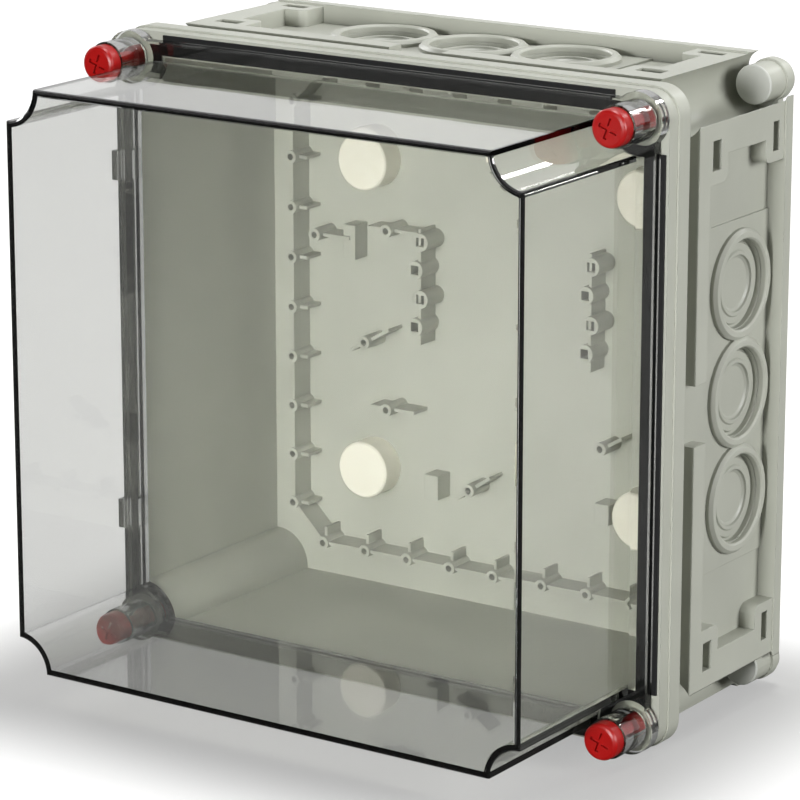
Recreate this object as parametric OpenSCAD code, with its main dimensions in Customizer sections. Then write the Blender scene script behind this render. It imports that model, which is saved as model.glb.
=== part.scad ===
// Square wall enclosure: moulded base tub, deep smoked lid on two hidden hinges, four captive corner bolts.
// X is the width, +Z is up, the lid faces -Y. The origin is the centre of the wall-fixing pattern,
// on the plane of the wall.

/* [Overall] */
// Width between the corner axes, which is also the width of the lid's face
face_w = 274; // [220:1:420]
// Height between the corner axes, which is also the height of the lid's face
face_h = 274; // [220:1:420]

/* [Lid] */
// Depth of the lid from its face to the joint
lid_depth = 97; // [60:1:140]
// Thickness of the lid's walls and face
lid_wall = 3; // [2:0.5:5]
// Radius of the hollow down each corner of the lid
lid_hollow_r = 15.6; // [14:0.1:18]
// Rounding of the lid's front edges
lid_round = 2.4; // [0.5:0.1:2.8]
// How far the lid's flange stands out past the face
lid_flange_out = 8.5; // [7:0.5:10]
// Thickness of the lid's flange
lid_flange_t = 6; // [5:0.5:9]
// Radius of the flange round each corner bolt
lid_ear_r = 12.5; // [11:0.5:13]
// Radius of the pillar round each corner bolt
pillar_r = 9.5; // [8.5:0.5:10.5]
// Length of the pillar in front of the flange
pillar_len = 17; // [8:1:40]

/* [Base] */
// Depth of the base from the wall to its rim
base_depth = 116; // [80:1:180]
// Thickness of the side walls
base_wall = 4; // [3:0.5:6]
// Thickness of the back wall
back_t = 3.5; // [2.5:0.5:6]
// Gap between the back wall and the building's wall
back_gap = 3; // [1:0.5:6]
// How far the side panels stand out past the corner axes
panel_out = 5; // [4.5:0.5:7]
// How far the frame round the side panels stands out past the corner axes
frame_out = 12; // [9:0.5:12.5]
// Width of the frame's front strip
frame_w = 10; // [6:0.5:12]
// How far the rim and the rear band stand out past the corner axes
rim_out = 13; // [11:0.5:16]
// Depth of the rim
rim_t = 16; // [14:1:18]
// Depth of the step on the rim's front part
rim_step_t = 7; // [3:0.5:9]
// Width of the channel between the rim and the side frames
channel_w = 10.5; // [6:0.5:12]
// Depth of the rear band
band_t = 6; // [4:0.5:10]
// Chamfer along the rear edges
rear_chamfer = 5; // [1:0.5:5]
// Radius of the hollow down each rear corner
base_hollow_r = 14; // [12.5:0.5:15]
// Wall left round each rear corner hollow
hollow_wall = 3.5; // [2.5:0.5:5]

/* [Side panels] */
// Knockouts on each side
knockout_count = 3; // [1:1:3]
// Distance from knockout to knockout
knockout_pitch = 50; // [50:1:60]
// Distance of the knockouts from the wall
knockout_d = 40.5; // [40:0.5:60]
// Radius of the raised collar round a knockout
collar_r = 25.5; // [24:0.5:26]
// Height of the collar above the panel
collar_h = 3.2; // [1:0.2:4]
// Radius of the large knockout, for an M40 gland
knockout_r = 20.25; // [16:0.25:21]
// Radius of the small knockout, for an M25 gland
inner_knockout_r = 12.75; // [8:0.25:13]
// Half the height of the knockout panel
panel_half = 80; // [77:1:82]
// Distance of the corner plates from the middle of a side
plate_at = 114.5; // [106:0.5:116]
// Depth of a coupling window below the panel
window_depth = 1; // [0.5:0.25:2]

/* [Corner bolts] */
// Radius of the bolt's shank
bolt_r = 5; // [4:0.1:6]
// Radius of the bolt's neck inside the pillar
bolt_neck_r = 3; // [2.5:0.1:4.5]
// Running clearance of the shank in the lid
bolt_clear = 0.06; // [0.02:0.01:0.1]
// Radius of the bolt's head
head_r = 8.5; // [7.5:0.1:9.5]
// Length of the bolt's head
head_len = 7; // [4:0.5:12]
// How far the bolt reaches into the base
bolt_reach = 4.5; // [2:0.5:4.5]
// Radius of the socket mouth in the base
socket_r = 7.6; // [7.6:0.1:8.5]
// Depth of the socket mouth
socket_depth = 7; // [5.5:0.5:9]
// Core radius of the thread below the mouth
thread_core_r = 4.3; // [3:0.1:5]

/* [Gasket] */
// Width of the gasket groove
gasket_w = 4; // [3:0.5:5]
// Depth of the gasket groove
gasket_d = 3; // [2:0.5:5]
// Gap between the lid and the base, which the gasket's lip fills
joint_gap = 1; // [0.6:0.1:1.5]

/* [Hinges] */
// Radius of the lid's hinge lug
knuckle_r = 2.6; // [2.2:0.1:2.6]
// Radius of a hinge pin
hinge_pin_r = 1.2; // [0.8:0.1:1.3]
// Running clearance round a hinge pin
pin_clear = 0.05; // [0.02:0.01:0.1]
// Height of the middle of each hinge above and below the centre
hinge_z = 85; // [50:1:100]
// Length of a hinge lug
knuckle_len = 14; // [8:1:20]
// Length of a hinge pin
hinge_pin_len = 34; // [26:1:40]
// Room round a hinge lug in the rim
knuckle_gap = 0.4; // [0.3:0.05:0.5]

/* [Fixings] */
// Radius of a corner fixing tube
lug_r = 9; // [8:0.5:10]
// Length of a corner fixing tube
lug_len = 21; // [14:1:40]
// Radius of the wall screw's hole
lug_hole_r = 3.25; // [2:0.25:4]
// Radius of the cover's seat in a fixing tube
cover_seat_r = 6.6; // [5:0.1:7]
// Depth of the cover's seat
cover_seat_d = 6; // [4:0.5:10]
// Thickness of the cover's head
cover_head_t = 1.2; // [0.8:0.1:2]
// Distance from boss to boss on the back wall
raster = 25; // [20:1:30]
// Distance of each boss row from the centre
boss_row = 118; // [90:1:119]
// Height of the bosses above the back wall
boss_h = 14.5; // [6:0.5:25]
// Radius of a boss
boss_r = 3.2; // [2.8:0.1:4]
// Radius of a boss's screw hole
boss_hole_r = 1.6; // [1:0.1:2]
// Depth of a boss's screw hole
boss_hole_d = 12; // [5:0.5:12]

/* [Plugs] */
// Distance of each white plug from the centre
plug_at = 77; // [60:1:85]
// Radius of a white plug's head
plug_r = 14; // [13.5:0.5:15]
// Height of a white plug above the back wall
plug_h = 13; // [6:0.5:20]
// Radius of the hole that a white plug closes
plug_hole_r = 12.75; // [9:0.25:13]

/* [Hidden] */
$fn = 64;
eps = 0.01;

half_w = face_w / 2;
half_h = face_h / 2;
rim_y = -base_depth;                       // front of the base's rim
joint_y = rim_y - joint_gap;               // back of the lid's flange
face_y = joint_y - lid_depth;              // front of the lid
flange_y = joint_y - lid_flange_t;         // front of the lid's flange
head_y = flange_y - pillar_len;            // seat of the bolt's head
back_y = -back_gap;                        // outside of the back wall
floor_y = back_y - back_t;                 // inside of the back wall
band_back_y = back_y - rear_chamfer;       // back of the rear band's flat
band_y = band_back_y - band_t;             // front of the rear band
inner_half_w = half_w + panel_out - base_wall;
inner_half_h = half_h + panel_out - base_wall;
rear_ear_r = lug_r + 1;                    // flange round each fixing tube
hinge_x = -(half_w + rim_out - 3);         // hinge axis, inside the rim's edge
hinge_y = rim_y + 4;                       // hinge axis, behind the rim's front
groove_in = panel_out - base_wall + 1.2;   // gasket groove's inner edge past the corner axes
groove_corner_r = 12;                      // gasket groove's radius round each bolt
lip_over = 0.4;                            // how far the gasket's lip reaches past its groove
clip_t = 1.5;                              // thickness of a retaining clip
clip_out_r = 7.4;                          // outer radius of a retaining clip
clip_groove_r = bolt_r - 0.7;              // bolt's core in the clip's groove
clip_seat_d = 3;                           // depth of the clip's seat in the lid
frame_d = base_depth - rim_t - channel_w;  // front of the side frames, from the wall
side_end = max(half_w, half_h);
slot_at = 115;                             // middle of the coupling slots along a side
slot_len = 13.5;                           // length of a coupling slot
slot_rows = [[70.5, 7.5], [18.5, 5.5]];    // each coupling slot's distance from the wall and its width
plate_boss = [102, 64.5];                  // inner lower corner of a corner plate's front boss
plate_tab = [103.5, 30.5];                 // inner upper corner of a corner plate's rear tab
plate_round = 4;                           // rounding of both
cover_fit = 0.05;                          // a cover's clearance in its seat
gap_half = 14;                             // half the gap in the middle of a side frame's strip
frame_t = 1.8;                             // thickness of the rib frame
plug_neck_t = 3;                           // length of a plug's neck behind the back wall
fin_t = 1.6;                               // thickness of a fin
row_fin = 5;                               // length of the fin beside a row boss
quartet_x = 43.5;                          // distance of the boss quartets from the middle
quartet_r = 4.4;                           // radius of a quartet boss
square_hole = 4.4;                         // width of a quartet boss's square hole
QUARTET = [[1.5, 42], [-1.5, 28], [1.5, 14], [-1.5, 0]];
SINGLES = [[-104, 38], [-62, 45], [-75, -12], [-62, -44], [-14, -77], [57, -45]];
// each fin: the boss it starts at, its length and its angle
FINS = [[-104, 38, 16, 0], [-62, 45, 14, 0], [-62, 45, 10, 180], [-75, -12, 12, 30], [-75, -12, 8, 210],
  [-62, -44, 12, 0], [-62, -44, 8, 180], [-14, -77, 10, 35], [-14, -77, 8, 215], [57, -45, 9, 30]];
// each plate: its middle, width and height
PLATES = [[-86, 36, 7, 17], [-38, -80, 8, 12], [56, -78, 8, 10]];
RED = [0.78, 0.06, 0.05];
GREY = [0.71, 0.71, 0.67];
SMOKE = [0.25, 0.24, 0.23, 0.5];
CORNERS = [["tl", -1, 1], ["tr", 1, 1], ["bl", -1, -1], ["br", 1, -1]];

// Extrudes an X-Z outline from y0 forward to y1, where y1 < y0.
module along_y(y0, y1) {
  translate([0, y0, 0]) rotate([90, 0, 0]) linear_extrude(y0 - y1) children();
}

// A cylinder that lies along Y, from y0 forward to y1.
module rod_y(x, z, r, y0, y1) {
  translate([x, y0, z]) rotate([90, 0, 0]) cylinder(r = r, h = y0 - y1);
}

// Puts its children at the four corner axes.
module at_corners() {
  for (c = CORNERS) translate([c[1] * half_w, 0, c[2] * half_h]) children();
}

// Rectangle that stands out past the corner axes, with a hollow round each of them.
module hollowed(out, r) {
  far = out + r + 1;
  difference() {
    square([face_w + 2 * out, face_h + 2 * out], center = true);
    for (c = CORNERS) translate([c[1] * half_w, c[2] * half_h]) {
      circle(r);
      translate([c[1] * far / 2, c[2] * far / 2]) square(far, center = true);
    }
  }
}

// Rectangle that stands out past the corner axes, with round ears on them.
module eared(out, r) {
  square([face_w + 2 * out, face_h], center = true);
  square([face_w, face_h + 2 * out], center = true);
  for (c = CORNERS) translate([c[1] * half_w, c[2] * half_h]) circle(r);
}

// A bar along one side, from d0 to d1 in depth and from z0 to z1 outward.
module side_slab(half_len, d0, d1, z0, z1) {
  translate([-half_len, d0, z0]) cube([2 * half_len, d1 - d0, z1 - z0]);
}

// Places its children on the outside of every side wall: local X along the side, local Y away from
// the wall towards the lid, local Z outward, with Z = 0 at the corner axis.
module each_side() {
  for (k = [0 : 3]) {
    reach = (k % 2 == 0) ? half_w : half_h;
    rotate([0, 90 * k, 0]) translate([reach, 0, 0])
      multmatrix([[0, 0, 1, 0], [0, -1, 0, 0], [1, 0, 0, 0], [0, 0, 0, 1]]) children();
  }
}

// Raised collar of one knockout, with rounded edges.
module knockout_collar() {
  inner = knockout_r + 0.5;
  rotate_extrude() polygon([[inner, -1], [inner, collar_h - 0.8], [inner + 0.8, collar_h],
    [collar_r - 1.6, collar_h], [collar_r, collar_h - 1.6], [collar_r, -1]]);
}

// What a knockout takes out of the panel: the dished disc, its ring groove and the smaller disc.
module knockout_dish() {
  rotate_extrude() polygon([[0, -2.4], [inner_knockout_r - 1.2, -2.4], [inner_knockout_r, -1.6],
    [inner_knockout_r + 0.4, -0.6], [inner_knockout_r + 2, -0.6], [inner_knockout_r + 2.6, -1.4],
    [knockout_r - 2, -1.4], [knockout_r - 1.2, -2.6], [knockout_r, -2.6], [knockout_r + 0.3, collar_h + 1],
    [0, collar_h + 1]]);
}

module knockout_places() {
  for (i = [0 : knockout_count - 1])
    translate([(i - (knockout_count - 1) / 2) * knockout_pitch, knockout_d, panel_out]) children();
}

module base_outside() {
  rim_back = rim_y + rim_t;
  // rim and rear band
  along_y(rim_back, rim_y + rim_step_t) eared(rim_out, rim_out);
  along_y(rim_y + rim_step_t + eps, rim_y) eared(rim_out - 0.9, rim_out - 0.9);
  along_y(band_back_y, band_y) hollowed(rim_out, base_hollow_r);
  // walls, down to the corner hollows
  along_y(back_y - eps, rim_back - eps) hollowed(panel_out - window_depth, base_hollow_r);
  // back plate with its ears round the fixing tubes
  along_y(back_y, band_back_y) {
    square([face_w + 2 * panel_out, face_h + 2 * panel_out], center = true);
    for (c = CORNERS) translate([c[1] * half_w, c[2] * half_h]) circle(rear_ear_r);
  }
  // sloping edge from the back plate to the rear band
  rear_slope();
  intersection() {
    along_y(back_y - eps, rim_back - eps) hollowed(rim_out, base_hollow_r);
    each_side() side_raised();
  }
}

// Slope between the back plate and the rear band, clear of the corner hollows.
module rear_slope() {
  intersection() {
    along_y(back_y, band_y) hollowed(rim_out, base_hollow_r);
    each_side() rotate([90, 0, 90]) translate([0, 0, -side_end])
      linear_extrude(2 * side_end)
        polygon([[-back_y, panel_out - base_wall], [-back_y, panel_out], [-band_back_y, rim_out],
                 [-band_back_y + 1, rim_out], [-band_back_y + 1, panel_out - base_wall]]);
  }
}

// What stands proud of the thin wall on one side.
module side_raised() {
  low = panel_out - base_wall;
  d_back = -band_y - 1;
  // panel that holds the knockouts
  side_slab(panel_half, d_back, frame_d - 1, low, panel_out);
  knockout_places() knockout_collar();
  for (s = [0, 1]) mirror([s, 0, 0]) {
    // front strip of the frame, with a gap in the middle of the side
    translate([(gap_half + side_end) / 2, 0, 0])
      side_slab((side_end - gap_half) / 2, frame_d - frame_w, frame_d, low, frame_out);
    // corner plate with a boss round the front slot and a tab beside the rear band
    translate([0, 0, low]) linear_extrude(frame_out - low) corner_plate(d_back);
  }
}

// Outline of a corner plate: X along the side, Y away from the wall.
module corner_plate(d_back) {
  boss = plate_boss;
  tab = plate_tab;
  r = plate_round;
  translate([plate_at, d_back]) square([side_end - plate_at, frame_d - d_back]);
  translate([boss[0], boss[1] + r]) square([slot_at - boss[0], frame_d - boss[1] - r - eps]);
  translate([boss[0] + r, boss[1]]) square([slot_at - boss[0] - r, r + 1]);
  translate([boss[0] + r, boss[1] + r]) circle(r);
  translate([tab[0], d_back + eps]) square([slot_at - tab[0], tab[1] - r - d_back - eps]);
  translate([tab[0] + r, tab[1] - r - 1]) square([slot_at - tab[0] - r, r + 1]);
  translate([tab[0] + r, tab[1] - r]) circle(r);
}

module base_tub() {
  color(GREY) difference() {
    union() {
      difference() {
        base_outside();
        // inside of the tub
        along_y(floor_y, rim_y - 1) hollowed(panel_out - base_wall, base_hollow_r + hollow_wall);
      }
      at_corners() rod_y(0, 0, lug_r, 0, -lug_len);
      back_bosses();
      rib_frame();
    }
    // gasket groove
    along_y(rim_y + gasket_d, rim_y - 1) groove_outline(0);
    // bolt sockets and wall-screw holes
    at_corners() {
      rod_y(0, 0, socket_r, rim_y + socket_depth, rim_y - 1);
      rod_y(0, 0, thread_core_r, rim_y + rim_t - 3, rim_y - 1);
      rod_y(0, 0, lug_hole_r, 1, -lug_len - 1);
      rod_y(0, 0, cover_seat_r, -lug_len + cover_seat_d, -lug_len - 1);
    }
    each_side() knockout_places() knockout_dish();
    // coupling slots: two in each corner plate
    each_side() for (s = [-1, 1], d = slot_rows)
      translate([s * slot_at, d[0], 0]) side_slab(slot_len / 2, 0, d[1], panel_out, frame_out + 1);
    // holes that the white plugs close
    for (x = [-plug_at, plug_at], z = [-plug_at, plug_at]) rod_y(x, z, plug_hole_r, 1, floor_y - 1);
    hinge_slots();
    hinge_pins(hinge_pin_r + pin_clear, hinge_pin_len);
  }
}

// Outline of the gasket groove, smaller by gap on every edge.
module groove_outline(gap) {
  difference() {
    hollowed(groove_in + gasket_w - gap, groove_corner_r + gap);
    hollowed(groove_in + gap, groove_corner_r + gasket_w - gap);
  }
}

module gasket() {
  color("#141414") {
    along_y(rim_y + gasket_d, rim_y - eps) groove_outline(0);
    along_y(rim_y, joint_y) groove_outline(-lip_over);
  }
}

module lid_shell() {
  color(SMOKE) difference() {
    union() {
      difference() {
        along_y(joint_y, face_y) hollowed(0, lid_hollow_r);
        face_edges();
      }
      along_y(joint_y, flange_y) eared(lid_flange_out, lid_ear_r);
      at_corners() rod_y(0, 0, pillar_r, flange_y + eps, head_y);
      hinge_lugs();
    }
    along_y(joint_y + 1, face_y + lid_wall) hollowed(-lid_wall, lid_hollow_r + lid_wall);
    at_corners() {
      rod_y(0, 0, bolt_r + bolt_clear, joint_y + 1, head_y - 1);
      rod_y(0, 0, clip_out_r + 0.5, joint_y + 1, joint_y - clip_seat_d);
    }
    hinge_pins(hinge_pin_r + pin_clear, hinge_pin_len);
  }
}

// What the rounding of the lid's face takes off: X outward from the wall, Y inward from the face.
module round_profile(x_mirror) {
  r = lid_round;
  mirror([x_mirror, 0]) polygon([[-r, -1], [1, -1], [1, r], [0, r], [-0.134 * r, r / 2],
    [-r / 2, 0.134 * r], [-r, 0]]);
}

// Rounding along the four edges of the lid's face and round its corner hollows.
module face_edges() {
  for (k = [0 : 3]) {
    reach = (k % 2 == 0) ? half_w : half_h;
    rotate([0, 90 * k, 0]) translate([reach, face_y, 0])
      linear_extrude(2 * side_end + 2, center = true) round_profile(0);
  }
  at_corners() translate([0, face_y, 0]) rotate([-90, 0, 0])
    rotate_extrude() translate([lid_hollow_r, 0]) round_profile(1);
}

// The lid's two hinge lugs, which reach from the flange into the rim.
module hinge_lugs() {
  for (s = [-1, 1]) translate([hinge_x, hinge_y, s * hinge_z]) {
    cylinder(r = knuckle_r, h = knuckle_len, center = true);
    translate([-2, flange_y - hinge_y, -knuckle_len / 2]) cube([4.4, hinge_y - flange_y, knuckle_len]);
  }
}

// Slots in the rim that the hinge lugs turn in, open to the front and to the side.
module hinge_slots() {
  reach = knuckle_r + knuckle_gap;
  for (s = [-1, 1]) translate([hinge_x, hinge_y, s * hinge_z - knuckle_len / 2 - knuckle_gap]) {
    cylinder(r = reach, h = knuckle_len + 2 * knuckle_gap);
    translate([-6, -6, 0]) cube([6 + reach - 0.1, 6, knuckle_len + 2 * knuckle_gap]);
    translate([-6, -1, 0]) cube([6, 6.5, knuckle_len + 2 * knuckle_gap]);
  }
}

// Both hinge pins, or their bores.
module hinge_pins(r, length) {
  for (s = [-1, 1]) hinge_pin(s, r, length);
}

module hinge_pin(s, r, length) {
  translate([hinge_x, hinge_y, s * hinge_z]) cylinder(r = r, h = length, center = true);
}

// Bosses on the back wall: four rows on the raster and a scatter of single ones.
module back_bosses() {
  steps = floor(boss_row / raster);
  for (i = [-steps : steps], s = [-1, 1]) {
    boss(s * boss_row, i * raster, boss_r, boss_hole_r);
    boss(i * raster, s * boss_row, boss_r, boss_hole_r);
    // each row boss has a short fin towards the inside
    fin(s * boss_row, i * raster, row_fin, s > 0 ? 180 : 0);
    fin(i * raster, s * boss_row, row_fin, s > 0 ? -90 : 90);
  }
  for (p = SINGLES) boss(p[0], p[1], boss_r, boss_hole_r);
  for (p = FINS) fin(p[0], p[1], p[2], p[3]);
  for (p = PLATES) raised_plate(p[0], p[1], p[2], p[3]);
  for (x = [-quartet_x, quartet_x + 6]) translate([x, 0, 0]) boss_quartet();
}

// A blind screw boss on the back wall.
module boss(x, z, r, hole_r) {
  difference() {
    rod_y(x, z, r, floor_y + eps, floor_y - boss_h);
    rod_y(x, z, hole_r, floor_y - boss_h + boss_hole_d, floor_y - boss_h - 1);
  }
}

// Four larger bosses with square holes, joined by a web.
module boss_quartet() {
  along_y(floor_y + eps, floor_y - boss_h + 2)
    translate([-fin_t / 2, QUARTET[3][1] - 9]) square([fin_t, QUARTET[0][1] - QUARTET[3][1] + 15]);
  difference() {
    for (p = QUARTET) rod_y(p[0], p[1], quartet_r, floor_y + eps, floor_y - boss_h);
    along_y(floor_y - boss_h + boss_hole_d, floor_y - boss_h - 1)
      for (p = QUARTET) translate(p) square(square_hole, center = true);
  }
}

// A low fin that stands on the back wall beside a boss, turned by angle.
module fin(x, z, length, angle) {
  translate([x, floor_y + eps, z]) rotate([0, -angle, 0])
    translate([boss_r - 0.5, 3 - boss_h, -fin_t / 2]) cube([length, boss_h - 3, fin_t]);
}

// A thin raised plate on the back wall.
module raised_plate(x, z, w, h) {
  along_y(floor_y + eps, floor_y - boss_h + 4) translate([x - w / 2, z - h / 2]) square([w, h]);
}

// Raised frame that joins the outer bosses, with cut corners.
module rib_frame() {
  steps = floor(boss_row / raster);
  a = boss_row;
  b = steps * raster;
  outline = [[a, b], [b, a], [-b, a], [-a, b], [-a, -b], [-b, -a], [b, -a], [a, -b]];
  t = frame_t / 2;
  k = t * tan(22.5);
  difference() {
    along_y(floor_y + eps, floor_y - boss_h + 1) difference() {
      polygon([for (p = outline) [p[0] + sign(p[0]) * (abs(p[0]) == a ? t : k),
                                  p[1] + sign(p[1]) * (abs(p[1]) == a ? t : k)]]);
      polygon([for (p = outline) [p[0] - sign(p[0]) * (abs(p[0]) == a ? t : k),
                                  p[1] - sign(p[1]) * (abs(p[1]) == a ? t : k)]]);
    }
    for (i = [-steps : steps], s = [-1, 1]) {
      rod_y(s * boss_row, i * raster, boss_r - 0.5, floor_y - 1, floor_y - boss_h - 1);
      rod_y(i * raster, s * boss_row, boss_r - 0.5, floor_y - 1, floor_y - boss_h - 1);
    }
  }
}

// A captive corner bolt: domed head with a cross slot, shank, clip groove and tapered tip.
module corner_bolt(c) {
  reach = -head_y - base_depth + bolt_reach;
  clip_at = -head_y + joint_y - 0.7 - clip_t;
  neck_len = pillar_len - 3;
  color(RED) translate([c[1] * half_w, head_y, c[2] * half_h]) rotate([-90, 0, 0]) difference() {
    union() {
      rotate_extrude() polygon([[0, -head_len], [head_r - 1.6, -head_len], [head_r - 0.5, -head_len + 0.5],
        [head_r, -head_len + 1.6], [head_r, 0], [bolt_neck_r, 0],
        [bolt_neck_r, neck_len], [bolt_r, neck_len + 1], [bolt_r, clip_at], [clip_groove_r, clip_at],
        [clip_groove_r, clip_at + clip_t], [bolt_r, clip_at + clip_t], [bolt_r, reach - 2],
        [bolt_r - 2, reach], [0, reach]]);
    }
    for (a = [20, 110]) translate([0, 0, -head_len]) rotate([0, 0, a])
      cube([head_r + 1, 1.8, 3], center = true);
  }
}

module bolt_clip(c) {
  y1 = joint_y - 0.7 - clip_t;
  color("#dedcd2") translate([c[1] * half_w, y1, c[2] * half_h]) rotate([-90, 0, 0]) difference() {
    cylinder(r = clip_out_r, h = clip_t);
    translate([0, 0, -1]) cylinder(r = clip_groove_r, h = clip_t + 2);
    translate([0, -1.2, -1]) cube([clip_out_r + 1, 2.4, clip_t + 2]);
  }
}

// A light grey cover pressed into the front of a fixing tube.
module fixing_cover(c) {
  color("#d2d3cf") translate([c[1] * half_w, -lug_len, c[2] * half_h]) rotate([90, 0, 0]) {
    rotate_extrude() polygon([[0, 0], [lug_r, 0], [lug_r, cover_head_t - 0.4],
      [lug_r - 0.4, cover_head_t], [0, cover_head_t]]);
    translate([0, 0, -cover_seat_d + 1]) cylinder(r = cover_seat_r - cover_fit, h = cover_seat_d - 1 + eps);
  }
}

// A white blanking plug: hollow neck through the back wall, tall round head inside the tub.
module back_plug(c) {
  color("#f4f4ee") translate([c[1] * plug_at, floor_y, c[2] * plug_at]) rotate([90, 0, 0]) difference() {
    union() {
      rotate_extrude() polygon([[0, 0], [plug_r, 0], [plug_r, plug_h - 0.8], [plug_r - 0.8, plug_h], [0, plug_h]]);
      translate([0, 0, -plug_neck_t]) cylinder(r = plug_hole_r - 0.05, h = plug_neck_t + eps);
    }
    translate([0, 0, -plug_neck_t - 1]) cylinder(r = plug_hole_r - 2, h = plug_h + plug_neck_t - 1);
  }
}

base_tub();
lid_shell();
gasket();
color("silver") hinge_pin(1, hinge_pin_r, hinge_pin_len);  // hinge_pin_upper
color("silver") hinge_pin(-1, hinge_pin_r, hinge_pin_len);  // hinge_pin_lower
for (c = CORNERS) {
  corner_bolt(c);
  bolt_clip(c);
  fixing_cover(c);
  back_plug(c);
}
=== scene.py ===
# Square polycarbonate wall enclosure on its lower rim: grey moulded tub, smoked lid, red corner bolts.
import math
import bmesh
import bpy
from mathutils import Euler, Matrix, Vector


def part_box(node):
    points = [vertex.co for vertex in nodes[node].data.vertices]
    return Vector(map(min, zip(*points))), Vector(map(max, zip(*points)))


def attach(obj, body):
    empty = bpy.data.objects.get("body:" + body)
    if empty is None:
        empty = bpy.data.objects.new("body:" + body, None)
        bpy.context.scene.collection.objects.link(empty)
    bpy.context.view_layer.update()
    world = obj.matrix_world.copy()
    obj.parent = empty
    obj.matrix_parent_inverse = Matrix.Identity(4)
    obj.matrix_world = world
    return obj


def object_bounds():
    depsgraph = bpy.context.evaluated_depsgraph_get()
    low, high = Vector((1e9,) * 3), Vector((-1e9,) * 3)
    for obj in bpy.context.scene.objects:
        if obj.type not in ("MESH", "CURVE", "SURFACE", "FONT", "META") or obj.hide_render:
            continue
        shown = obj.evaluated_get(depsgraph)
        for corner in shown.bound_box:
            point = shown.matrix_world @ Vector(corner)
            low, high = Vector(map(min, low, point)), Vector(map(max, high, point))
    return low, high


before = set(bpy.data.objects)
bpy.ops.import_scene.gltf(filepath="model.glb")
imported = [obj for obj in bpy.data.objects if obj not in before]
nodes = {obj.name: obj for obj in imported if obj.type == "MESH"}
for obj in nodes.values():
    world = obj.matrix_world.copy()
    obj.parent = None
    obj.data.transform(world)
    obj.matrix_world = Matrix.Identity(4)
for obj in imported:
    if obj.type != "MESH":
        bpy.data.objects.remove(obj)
scene = bpy.context.scene
cadBox = [list(corner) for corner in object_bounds()]
low, high = Vector(cadBox[0]), Vector(cadBox[1])
middle = (low + high) / 2
corners = ("tl", "tr", "bl", "br")
mm = 0.001
print("frame loaded,", len(nodes), "nodes")


def linearColour(hexText, alpha=1.0):
    parts = [int(hexText[i:i + 2], 16) / 255 for i in (1, 3, 5)]
    return [p / 12.92 if p <= 0.04045 else ((p + 0.055) / 1.055) ** 2.4 for p in parts] + [alpha]


def addNode(tree, kind, settings=None, links=None):  # a name is a property or a socket, a number is a socket
    node = tree.nodes.new("ShaderNode" + kind)
    for name, value in (settings or {}).items():
        if isinstance(name, str) and hasattr(node, name):
            setattr(node, name, value)
        else:
            node.inputs[name].default_value = value
    for name, source in (links or {}).items():
        tree.links.new(source, node.inputs[name])
    return node


def newMaterial(name):
    material = bpy.data.materials.new(name)
    material.use_nodes = True
    tree = material.node_tree
    tree.nodes.clear()
    return material, tree


def dress(nodeNames, material):
    for name in nodeNames:
        nodes[name].data.materials.clear()
        nodes[name].data.materials.append(material)


def newObject(name, shape):
    mesh = bpy.data.meshes.new(name)
    shape.to_mesh(mesh)
    shape.free()
    made = bpy.data.objects.new(name, mesh)
    scene.collection.objects.link(made)
    return made


def addPiece(name, shape, body):
    piece = newObject(name, shape)
    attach(piece, body)
    return piece


polycarbonateIor = 1.585
tubLook = {"light": "#b2b4a9", "dark": "#a8aa9f", "cloudMm": 60, "darkBelow": 0.3, "lightAbove": 0.7,
           "grainMm": 0.8, "smoothest": 0.36, "roughest": 0.52, "bump": 0.12, "bumpMm": 0.1,
           "edgeMm": 0.5, "specular": 0.45}


def mouldedPolycarbonate():  # injection moulded, spark-eroded tool: even satin grey, fine grain, soft edges
    look = tubLook
    material, tree = newMaterial("Moulded polycarbonate, light grey")
    place = addNode(tree, "TexCoord")
    cloud = addNode(tree, "TexNoise", {"Scale": 1 / (look["cloudMm"] * mm), "Detail": 3.0},
                    {"Vector": place.outputs["Object"]})
    colour = addNode(tree, "ValToRGB", None, {"Fac": cloud.outputs["Fac"]})
    darkEnd, lightEnd = colour.color_ramp.elements
    darkEnd.position, darkEnd.color = look["darkBelow"], linearColour(look["dark"])
    lightEnd.position, lightEnd.color = look["lightAbove"], linearColour(look["light"])
    grain = addNode(tree, "TexNoise", {"Scale": 1 / (look["grainMm"] * mm), "Detail": 2.0},
                    {"Vector": place.outputs["Object"]})
    rough = addNode(tree, "MapRange", {"To Min": look["smoothest"], "To Max": look["roughest"]},
                    {"Value": grain.outputs["Fac"]})
    edge = addNode(tree, "Bevel", {"samples": 4, "Radius": look["edgeMm"] * mm})
    bump = addNode(tree, "Bump", {"Strength": look["bump"], "Distance": look["bumpMm"] * mm},
                   {"Height": grain.outputs["Fac"], "Normal": edge.outputs["Normal"]})
    shader = addNode(tree, "BsdfPrincipled",
                     {"IOR": polycarbonateIor, "Specular IOR Level": look["specular"]},
                     {"Base Color": colour.outputs["Color"], "Roughness": rough.outputs["Result"],
                      "Normal": bump.outputs["Normal"]})
    addNode(tree, "OutputMaterial", None, {"Surface": shader.outputs["BSDF"]})
    return material


lidLook = {"smoke": "#8b8d88", "perMetre": 100, "lampTint": "#f2f2ee", "slantTint": "#101010",
           "slantBlend": 0.6, "waveMm": 45, "bump": 0.05, "bumpMm": 1}


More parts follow.
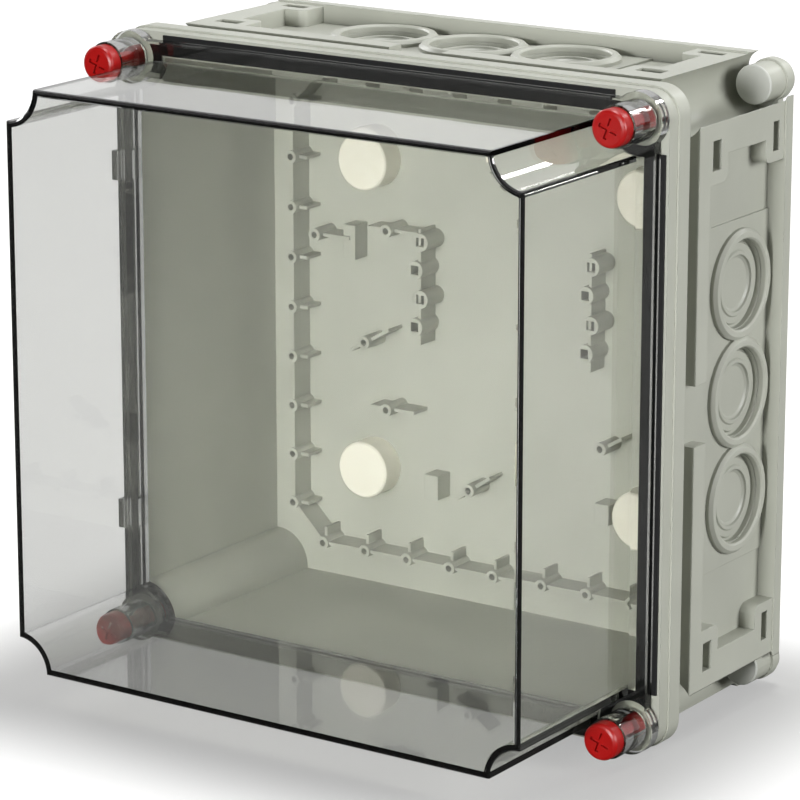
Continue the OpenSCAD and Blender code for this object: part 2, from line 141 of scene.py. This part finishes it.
def smokedPolycarbonate():  # polished mould: clear sheet with a faint grey smoke, dark only along its edges
    look = lidLook
    material, tree = newMaterial("Smoked polycarbonate, polished")
    place = addNode(tree, "TexCoord")
    wave = addNode(tree, "TexNoise", {"Scale": 1 / (look["waveMm"] * mm), "Detail": 1.0},
                   {"Vector": place.outputs["Object"]})
    bump = addNode(tree, "Bump", {"Strength": look["bump"], "Distance": look["bumpMm"] * mm},
                   {"Height": wave.outputs["Fac"]})
    shader = addNode(tree, "BsdfPrincipled",
                     {"Base Color": (1, 1, 1, 1), "Roughness": 0.0, "IOR": polycarbonateIor,
                      "Transmission Weight": 1.0},
                     {"Normal": bump.outputs["Normal"]})
    slant = addNode(tree, "LayerWeight", {"Blend": look["slantBlend"]})
    tint = addNode(tree, "Mix", {"data_type": "RGBA", 6: linearColour(look["lampTint"]),
                                 7: linearColour(look["slantTint"])}, {0: slant.outputs["Facing"]})
    lampWay = addNode(tree, "BsdfTransparent", None, {"Color": tint.outputs[2]})
    ray = addNode(tree, "LightPath")
    either = addNode(tree, "MixShader")  # lamps shine straight through, so the inside isn't dark
    tree.links.new(ray.outputs["Is Shadow Ray"], either.inputs[0])
    tree.links.new(shader.outputs["BSDF"], either.inputs[1])
    tree.links.new(lampWay.outputs["BSDF"], either.inputs[2])
    body = addNode(tree, "VolumeAbsorption",
                   {"Color": linearColour(look["smoke"]), "Density": look["perMetre"]})
    addNode(tree, "OutputMaterial", None,
            {"Surface": either.outputs["Shader"], "Volume": body.outputs["Volume"]})
    return material


def middleOf(name):
    return sum((Vector(corner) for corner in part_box(name)), Vector()) / 2


boltAt = middleOf("corner_bolt_tr").x
rimAt = Vector(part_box("base_tub")[0]).y
# inner and outer: past the corner bolts' axes, less beside the hinges; short: how far it ends from a bolt
lipLook = {"inner": 1.9 * mm, "outer": 10.8 * mm, "outerAtHinge": 7.0 * mm, "thick": 0.98 * mm,
           "short": 15 * mm, "edge": 0.25 * mm}


def gasketLip():  # the flat lip of the seal that shows as a black line all round below the lid's flange
    look = lipLook
    shape = bmesh.new()
    for angle in (0, 90, 180, 270):
        outer = look["outerAtHinge"] if angle == 180 else look["outer"]
        size = (outer - look["inner"], look["thick"], 2 * (boltAt - look["short"]))
        centre = (boltAt + (outer + look["inner"]) / 2, rimAt - look["thick"] / 2, 0)
        turn = Matrix.Rotation(math.radians(angle), 3, "Y")
        strip = bmesh.ops.create_cube(shape, size=1.0)["verts"]
        bmesh.ops.scale(shape, verts=strip, vec=size)
        bmesh.ops.translate(shape, verts=strip, vec=centre)
        bmesh.ops.rotate(shape, verts=strip, cent=(0, 0, 0), matrix=turn)
    bmesh.ops.bevel(shape, geom=shape.edges[:], offset=look["edge"], segments=2, profile=0.5,
                    affect="EDGES", material=-1)
    return addPiece("gasket_lip", shape, "base")


rubberLook = {"colour": "#090a0b", "pitMm": 0.7, "smoothest": 0.55, "roughest": 0.75, "bump": 0.4,
              "bumpMm": 0.1, "ior": 1.52, "specular": 0.3}


def foamedRubber():  # black closed-cell seal: matt, with fine pits
    look = rubberLook
    material, tree = newMaterial("Foamed rubber, black")
    place = addNode(tree, "TexCoord")
    pits = addNode(tree, "TexVoronoi", {"Scale": 1 / (look["pitMm"] * mm)},
                   {"Vector": place.outputs["Object"]})
    bump = addNode(tree, "Bump", {"Strength": look["bump"], "Distance": look["bumpMm"] * mm},
                   {"Height": pits.outputs["Distance"]})
    tone = addNode(tree, "MapRange", {"To Min": look["smoothest"], "To Max": look["roughest"]},
                   {"Value": pits.outputs["Distance"]})
    shader = addNode(tree, "BsdfPrincipled",
                     {"Base Color": linearColour(look["colour"]), "IOR": look["ior"],
                      "Specular IOR Level": look["specular"]},
                     {"Roughness": tone.outputs["Result"], "Normal": bump.outputs["Normal"]})
    addNode(tree, "OutputMaterial", None, {"Surface": shader.outputs["BSDF"]})
    return material


# name, colour, a second colour for the clouds, roughness, IOR, grain in mm
plainPlastics = {
    "bolt": ("Polyamide, signal red", "#a50806", "#950605", 0.34, 1.53, 0.6),
    "clip": ("Polyamide, natural", "#e6e3d8", "#dad6c8", 0.4, 1.53, 0.5),
    "cover": ("Polyethylene, pale grey", "#c6c8c2", "#bcbeb7", 0.4, 1.51, 0.6),
    "plug": ("Polyethylene, white", "#f3f1e4", "#e9e6d6", 0.4, 1.51, 0.6),
}
skinLook = {"flowMm": 6, "smoother": 0.05, "rougher": 0.08, "bump": 0.1, "bumpMm": 0.08, "edgeMm": 0.3,
            "specular": 0.3}


def plainPlastic(kind):  # small mouldings: one colour with a little flow in it, and a satin skin
    name, colourA, colourB, roughness, ior, grainMm = plainPlastics[kind]
    look = skinLook
    material, tree = newMaterial(name)
    place = addNode(tree, "TexCoord")
    flow = addNode(tree, "TexNoise", {"Scale": 1 / (look["flowMm"] * mm), "Detail": 2.0},
                   {"Vector": place.outputs["Object"]})
    colour = addNode(tree, "ValToRGB", None, {"Fac": flow.outputs["Fac"]})
    colour.color_ramp.elements[0].color = linearColour(colourB)
    colour.color_ramp.elements[1].color = linearColour(colourA)
    grain = addNode(tree, "TexNoise", {"Scale": 1 / (grainMm * mm)}, {"Vector": place.outputs["Object"]})
    rough = addNode(tree, "MapRange",
                    {"To Min": roughness - look["smoother"], "To Max": roughness + look["rougher"]},
                    {"Value": grain.outputs["Fac"]})
    edge = addNode(tree, "Bevel", {"samples": 4, "Radius": look["edgeMm"] * mm})
    bump = addNode(tree, "Bump", {"Strength": look["bump"], "Distance": look["bumpMm"] * mm},
                   {"Height": grain.outputs["Fac"], "Normal": edge.outputs["Normal"]})
    shader = addNode(tree, "BsdfPrincipled", {"IOR": ior, "Specular IOR Level": look["specular"]},
                     {"Base Color": colour.outputs["Color"], "Roughness": rough.outputs["Result"],
                      "Normal": bump.outputs["Normal"]})
    addNode(tree, "OutputMaterial", None, {"Surface": shader.outputs["BSDF"]})
    return material


steelLook = {"colour": "#c4c4c2", "lineMm": 0.2, "alongRod": 0.02, "smoothest": 0.22, "roughest": 0.4}


def drawnSteel():  # cut from bright drawn rod: fine lines along its length
    look = steelLook
    material, tree = newMaterial("Stainless steel rod, drawn")
    place = addNode(tree, "TexCoord")
    stretch = addNode(tree, "Mapping", {"Scale": (1, 1, look["alongRod"])},
                      {"Vector": place.outputs["Object"]})
    lines = addNode(tree, "TexNoise", {"Scale": 1 / (look["lineMm"] * mm)},
                    {"Vector": stretch.outputs["Vector"]})
    rough = addNode(tree, "MapRange", {"To Min": look["smoothest"], "To Max": look["roughest"]},
                    {"Value": lines.outputs["Fac"]})
    shader = addNode(tree, "BsdfPrincipled", {"Base Color": linearColour(look["colour"]), "Metallic": 1.0},
                     {"Roughness": rough.outputs["Result"]})
    addNode(tree, "OutputMaterial", None, {"Surface": shader.outputs["BSDF"]})
    return material


dress(["base_tub"], mouldedPolycarbonate())
dress(["lid_shell"], smokedPolycarbonate())
rubber = foamedRubber()
dress(["gasket"], rubber)
lip = gasketLip()
lip.data.materials.append(rubber)
dress(["corner_bolt_" + c for c in corners], plainPlastic("bolt"))
dress(["bolt_clip_" + c for c in corners], plainPlastic("clip"))
dress(["fixing_cover_" + c for c in corners], plainPlastic("cover"))
dress(["back_plug_" + c for c in corners], plainPlastic("plug"))
dress(["hinge_pin_upper", "hinge_pin_lower"], drawnSteel())
print("materials on")


def sightOf(tree, *kinds):  # 1 for rays of these kinds that no wall has scattered yet, 0 for all others
    ray = addNode(tree, "LightPath")
    unscattered = addNode(tree, "Math", {"operation": "LESS_THAN", 1: 0.5}, {0: ray.outputs["Diffuse Depth"]})
    either = ray.outputs[kinds[0]]
    for kind in kinds[1:]:
        either = addNode(tree, "Math", {"operation": "MAXIMUM"}, {0: either, 1: ray.outputs[kind]}).outputs[0]
    return addNode(tree, "Math", {"operation": "MULTIPLY"}, {0: either, 1: unscattered.outputs[0]}).outputs[0]


straight = ("Is Camera Ray", "Is Transmission Ray")  # what the camera sees, bare or through the lid
# paintedShadowGlow and glow: glow strength under the enclosure, where it is cut as a painted shadow, and away
# from it; paintedShadowSpread: metres that the painted shadow takes to fade out
floorLook = {"halfWidth": 20.0, "colour": "#7a7a78", "paintedShadowGlow": 0.4, "glow": 1.0, "paintedShadowSpread": 0.1}


def paleFloor():
    look = floorLook
    shape = bmesh.new()
    bmesh.ops.create_grid(shape, x_segments=1, y_segments=1, size=look["halfWidth"])
    bmesh.ops.translate(shape, verts=shape.verts, vec=(0, 0, low.z))
    floor = newObject("floor", shape)
    material, tree = newMaterial("Pale studio floor")
    paint = addNode(tree, "BsdfDiffuse", {"Color": linearColour(look["colour"])})
    place = addNode(tree, "TexCoord")  # painted shadow: the glow is cut under and around the enclosure, by distance from its footprint
    centred = addNode(tree, "VectorMath", {"operation": "SUBTRACT", 1: [middle.x, middle.y, low.z]},
                      {0: place.outputs["Object"]})
    folded = addNode(tree, "VectorMath", {"operation": "ABSOLUTE"}, {0: centred.outputs[0]})
    halfSize = (high - low) / 2
    beyond = addNode(tree, "VectorMath", {"operation": "SUBTRACT", 1: [halfSize.x, halfSize.y, 0]},
                     {0: folded.outputs[0]})
    outside = addNode(tree, "VectorMath", {"operation": "MAXIMUM", 1: [0, 0, 0]}, {0: beyond.outputs[0]})
    away = addNode(tree, "VectorMath", {"operation": "LENGTH"}, {0: outside.outputs[0]})
    paintedShadowFade = addNode(tree, "MapRange", {"interpolation_type": "SMOOTHSTEP", "From Max": look["paintedShadowSpread"],
                                      "To Min": look["paintedShadowGlow"], "To Max": look["glow"]},
                   {"Value": away.outputs["Value"]})
    glow = addNode(tree, "Math", {"operation": "MULTIPLY"},
                   {0: sightOf(tree, *straight), 1: paintedShadowFade.outputs["Result"]})
    shine = addNode(tree, "Emission", None, {"Strength": glow.outputs[0]})
    both = addNode(tree, "AddShader", None, {0: paint.outputs["BSDF"], 1: shine.outputs["Emission"]})
    addNode(tree, "OutputMaterial", None, {"Surface": both.outputs["Shader"]})
    floor.data.materials.append(material)


# fill: light from all round; reflections fall to darkSide between these two values of a ray's Y
worldLook = {"fill": 0.05, "darkSide": 0.1, "darkestY": -0.7, "brightestY": 0.3}


def whiteRoom():  # a white backdrop all round, with the room behind the camera darker in reflections
    look = worldLook
    world = bpy.data.worlds.new("room")
    world.use_nodes = True
    tree = world.node_tree
    tree.nodes.clear()
    place = addNode(tree, "TexCoord")
    parts = addNode(tree, "SeparateXYZ", None, {"Vector": place.outputs["Generated"]})
    mirrored = addNode(tree, "MapRange", {"From Min": look["darkestY"], "From Max": look["brightestY"],
                                          "To Min": look["darkSide"]}, {"Value": parts.outputs["Y"]})
    indirect = addNode(tree, "Mix", {"data_type": "FLOAT", 2: look["fill"]},
                       {0: sightOf(tree, "Is Glossy Ray"), 3: mirrored.outputs["Result"]})
    strength = addNode(tree, "Mix", {"data_type": "FLOAT", 3: 1.0},
                       {0: sightOf(tree, *straight), 2: indirect.outputs[0]})
    sky = addNode(tree, "Background", {"Color": (1, 1, 1, 1)}, {"Strength": strength.outputs[0]})
    addNode(tree, "OutputWorld", None, {"Surface": sky.outputs["Background"]})
    scene.world = world


def outward(azimuth, elevation):  # in degrees; azimuth 0 is in front, positive to the right
    a, e = math.radians(azimuth), math.radians(elevation)
    return Vector((math.sin(a) * math.cos(e), -math.cos(a) * math.cos(e), math.sin(e)))


# name: azimuth, elevation, distance, width, power
lamps = {
    "key": (8, 8, 2.6, 0.6, 67),
    "side": (102, 14, 2.4, 1.0, 43),
    "glint": (162, 33, 2.4, 0.3, 6),
    "top": (180, 76, 1.8, 0.7, 20),
    "back": (255, 25, 2.4, 1.0, 26),
}


def softLamps():
    for name, (azimuth, elevation, distance, width, power) in lamps.items():
        light = bpy.data.lights.new(name, "AREA")
        light.shape = "DISK"
        light.size = width
        light.energy = power
        lamp = bpy.data.objects.new(name, light)
        scene.collection.objects.link(lamp)
        away = outward(azimuth, elevation)
        lamp.location = middle + away * distance
        lamp.rotation_euler = away.to_track_quat("Z", "Y").to_euler()


view = {"azimuth": 34.2, "elevation": 15.05, "distance": 1.795, "lens": 176.6, "aim": (0.004, 0.0, -0.010)}


def shootFrom():
    camera = bpy.data.objects.new("camera", bpy.data.cameras.new("camera"))
    scene.collection.objects.link(camera)
    camera.data.lens = view["lens"]
    aim = Vector(view["aim"]) + Vector((0, middle.y, 0))
    camera.location = aim + view["distance"] * outward(view["azimuth"], view["elevation"])
    tilt, pan = math.pi / 2 - math.radians(view["elevation"]), math.radians(view["azimuth"])
    camera.rotation_euler = Euler((tilt, 0, pan))
    scene.camera = camera


paleFloor()
whiteRoom()
softLamps()
shootFrom()
scene.view_settings.view_transform = "Standard"
print("stage set")
